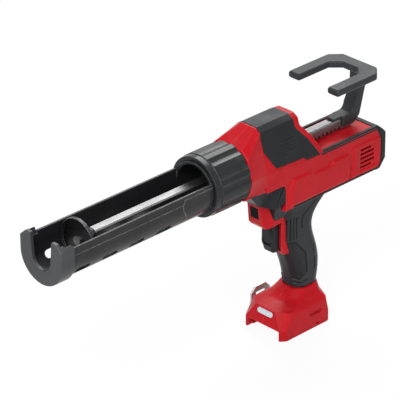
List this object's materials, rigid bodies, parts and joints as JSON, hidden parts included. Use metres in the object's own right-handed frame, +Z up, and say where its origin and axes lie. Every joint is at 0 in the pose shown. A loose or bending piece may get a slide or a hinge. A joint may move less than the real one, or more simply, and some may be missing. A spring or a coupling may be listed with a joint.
{
  "type": "cordless caulking tool",
  "caption": "Battery caulking gun: open cartridge cradle on a lock collar, geared toothed push rod with plunger and fork pull handle, pistol grip with trigger, slide-on battery foot.",
  "frame": {"origin": "middle of the battery foot's base, in the plane the foot stands on", "axes": "+X the way the tool dispenses, along the push rod; +Y to the tool's left; +Z up"},
  "size_m": [0.4769, 0.0805, 0.2832],
  "materials": {
    "red_shell": "fine-textured red moulding",
    "soft_grip": "soft-touch dark grey",
    "black_plastic": "satin black moulding",
    "grey_plastic": "satin dark grey moulding",
    "clear_lens": "clear moulded lens",
    "circuit_board": "coated board",
    "rod_steel": "bright plated steel",
    "hardware_steel": "zinc plated",
    "gear_steel": "machined",
    "cast_alloy": "die-cast",
    "copper": "wound or stamped"
  },
  "bodies": {
    "tool_body": {"housing_left": "red_shell", "housing_right": "red_shell", "housing_screws": "hardware_steel", "hump_cover": "soft_grip", "rear_bumper": "soft_grip", "nose_pad": "soft_grip", "grip_sleeve": "soft_grip", "work_light_lens": "clear_lens", "work_light_board": "circuit_board", "status_window": "clear_lens", "nose_ring": "cast_alloy", "gear_plate_left": "cast_alloy", "gear_plate_right": "cast_alloy", "gear_spacers": "hardware_steel", "shaft_bearings": "gear_steel", "front_guide": "cast_alloy", "rear_guide": "cast_alloy", "gearbox_flange": "cast_alloy", "output_bearing": "gear_steel", "ring_gear": "gear_steel", "motor_plate": "cast_alloy", "motor_bearings": "gear_steel", "motor_bridge": "black_plastic", "stator_core": "gear_steel", "stator_coils": "copper", "switch_body": "black_plastic", "trigger_spring": "hardware_steel", "belt_hook": "hardware_steel", "belt_hook_screw": "hardware_steel", "terminal_block": "black_plastic", "terminal_blades": "copper", "control_board": "circuit_board"},
    "cartridge_cradle": {"cradle": "black_plastic", "nozzle_cap": "black_plastic"},
    "lock_collar": {"lock_collar": "grey_plastic"},
    "push_rod": {"push_rod": "rod_steel", "plunger": "rod_steel", "plunger_bolt": "rod_steel", "pull_handle": "grey_plastic", "handle_pins": "rod_steel"},
    "trigger": {"trigger": "black_plastic"},
    "rack_pinion": {"pinion_shaft": "gear_steel", "reduction_gear": "gear_steel"},
    "lay_shaft": {"lay_shaft": "gear_steel", "bevel_gear": "gear_steel"},
    "output_shaft": {"bevel_pinion": "gear_steel"},
    "rotor": {"rotor_shaft": "gear_steel", "rotor_core": "gear_steel", "motor_fan": "black_plastic"},
    "planet_carrier": {"planet_carrier": "gear_steel"},
    "planet_1": {"planet_gear_1": "gear_steel"},
    "planet_2": {"planet_gear_2": "gear_steel"},
    "planet_3": {"planet_gear_3": "gear_steel"}
  },
  "joints": [
    {"name": "rod_slide", "type": "slide", "parent": "tool_body", "child": "push_rod", "axis": [1, 0, 0], "range_m": [-0.185, 0.036]},
    {"name": "cradle_swivel", "type": "hinge", "parent": "tool_body", "child": "cartridge_cradle", "pos_m": [0.12, 0, 0.22], "axis": [1, 0, 0], "continuous": true},
    {"name": "collar_turn", "type": "hinge", "parent": "tool_body", "child": "lock_collar", "pos_m": [0.11, 0, 0.22], "axis": [1, 0, 0], "range_deg": [0, 60]},
    {"name": "trigger_pull", "type": "slide", "parent": "tool_body", "child": "trigger", "axis": [-1, 0, 0], "range_m": [0, 0.006], "stiffness_N_per_m": 600, "springref_m": -0.003, "deforming": ["trigger_spring"]},
    {"name": "pinion_turn", "type": "hinge", "parent": "tool_body", "child": "rack_pinion", "pos_m": [0.02, 0, 0.2034], "axis": [0, 1, 0], "range_deg": [-890, 180]},
    {"name": "lay_turn", "type": "hinge", "parent": "tool_body", "child": "lay_shaft", "pos_m": [0.00408, 0, 0.1875], "axis": [0, 1, 0], "range_deg": [-350, 1775]},
    {"name": "output_turn", "type": "hinge", "parent": "tool_body", "child": "output_shaft", "pos_m": [-0.03, 0, 0.1875], "axis": [1, 0, 0], "range_deg": [-2660, 525]},
    {"name": "rotor_spin", "type": "hinge", "parent": "tool_body", "child": "rotor", "pos_m": [-0.075, 0, 0.1875], "axis": [1, 0, 0], "continuous": true},
    {"name": "carrier_spin", "type": "hinge", "parent": "tool_body", "child": "planet_carrier", "pos_m": [-0.048, 0, 0.1875], "axis": [1, 0, 0], "continuous": true},
    {"name": "planet_1_spin", "type": "hinge", "parent": "planet_carrier", "child": "planet_1", "pos_m": [-0.054, 0, 0.19762], "axis": [1, 0, 0], "continuous": true},
    {"name": "planet_2_spin", "type": "hinge", "parent": "planet_carrier", "child": "planet_2", "pos_m": [-0.054, -0.00877, 0.18244], "axis": [1, 0, 0], "continuous": true},
    {"name": "planet_3_spin", "type": "hinge", "parent": "planet_carrier", "child": "planet_3", "pos_m": [-0.054, 0.00877, 0.18244], "axis": [1, 0, 0], "continuous": true}
  ],
  "couplings": [
    {"joint": "pinion_turn", "follows": "rod_slide", "rad_per_m": 83.333},
    {"joint": "lay_turn", "follows": "rod_slide", "rad_per_m": -166.67},
    {"joint": "output_turn", "follows": "rod_slide", "rad_per_m": 250},
    {"joint": "carrier_spin", "follows": "rotor_spin", "ratio": 0.22222},
    {"joint": "planet_1_spin", "follows": "rotor_spin", "ratio": -0.62222},
    {"joint": "planet_2_spin", "follows": "rotor_spin", "ratio": -0.62222},
    {"joint": "planet_3_spin", "follows": "rotor_spin", "ratio": -0.62222}
  ]
}
